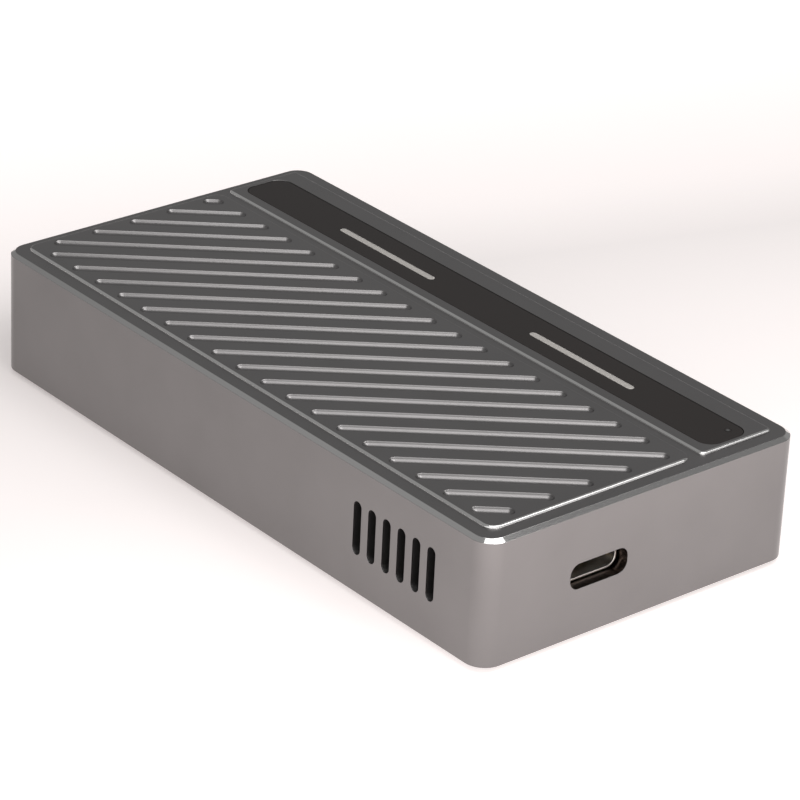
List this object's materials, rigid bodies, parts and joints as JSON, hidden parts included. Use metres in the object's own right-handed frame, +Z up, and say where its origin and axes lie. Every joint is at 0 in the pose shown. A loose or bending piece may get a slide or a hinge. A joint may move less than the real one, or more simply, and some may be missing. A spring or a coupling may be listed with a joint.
{
  "type": "external solid-state drive enclosure",
  "caption": "Pocket metal enclosure for a plug-in solid-state drive, with a diagonally grooved top, a dark inlay strip, side vents, an inner blower and a USB-C port.",
  "frame": {"origin": "on the surface the feet stand on, under the middle of the body", "axes": "+Z up, +Y to the back, -Y out of the port's face, -X towards the side vents in the picture"},
  "size_m": [0.0526, 0.104, 0.0189],
  "materials": {
    "shell": "bead-blasted, dark grey anodised, satin",
    "strip": "black, satin, lightly polished",
    "rubber": "matt black",
    "steel": "nickel-plated",
    "light": "clear acrylic",
    "led": "moulded",
    "board": "dark green solder mask",
    "receptacle": "drawn stainless steel",
    "tongue": "moulded black",
    "contacts": "gold-plated",
    "chip": "moulded epoxy",
    "heat_pad": "soft silicone, matt",
    "inductor": "pressed iron powder, matt",
    "crystal_can": "satin metal can",
    "ceramic": "fired ceramic with tinned ends",
    "nylon": "natural nylon",
    "socket": "moulded black",
    "brass": "turned",
    "blower_plastic": "glass-filled, matt black",
    "magnet": "plastic-bound ferrite",
    "core": "stacked sheet",
    "copper": "enamelled copper wire"
  },
  "bodies": {
    "case": {"top_shell": "shell", "inlay_strip": "strip", "bottom_cover": "shell", "cover_screws": "steel", "foot_front_left": "rubber", "foot_front_right": "rubber", "foot_back_left": "rubber", "foot_back_right": "rubber", "light_guide": "light", "status_led": "led", "main_board": "board", "board_screws": "steel", "usb_c_shell": "receptacle", "usb_c_tongue": "tongue", "usb_c_contacts": "contacts", "bridge_chip": "chip", "bridge_heat_pad": "heat_pad", "firmware_chip": "chip", "power_inductor_1": "inductor", "power_inductor_2": "inductor", "crystal": "crystal_can", "capacitors": "ceramic", "fan_header": "nylon", "fan_header_pins": "contacts", "m2_socket": "socket", "m2_socket_tails": "contacts", "ssd_board": "board", "ssd_controller": "chip", "ssd_memory_1": "chip", "ssd_memory_2": "chip", "ssd_buffer_chip": "chip", "ssd_heat_pad": "heat_pad", "ssd_standoff": "brass", "ssd_screw": "steel", "blower_case": "blower_plastic", "blower_lid": "blower_plastic", "blower_bearing": "brass", "stator_core": "core", "stator_windings": "copper", "blower_spacers": "brass", "blower_screws": "steel"},
    "wheel": {"blower_wheel": "blower_plastic", "wheel_magnet": "magnet", "wheel_shaft": "steel"}
  },
  "joints": [
    {"name": "wheel_spin", "type": "hinge", "parent": "case", "child": "wheel", "pos_m": [-0.009, -0.0275, 0.01212], "axis": [0, 0, 1], "continuous": true}
  ]
}
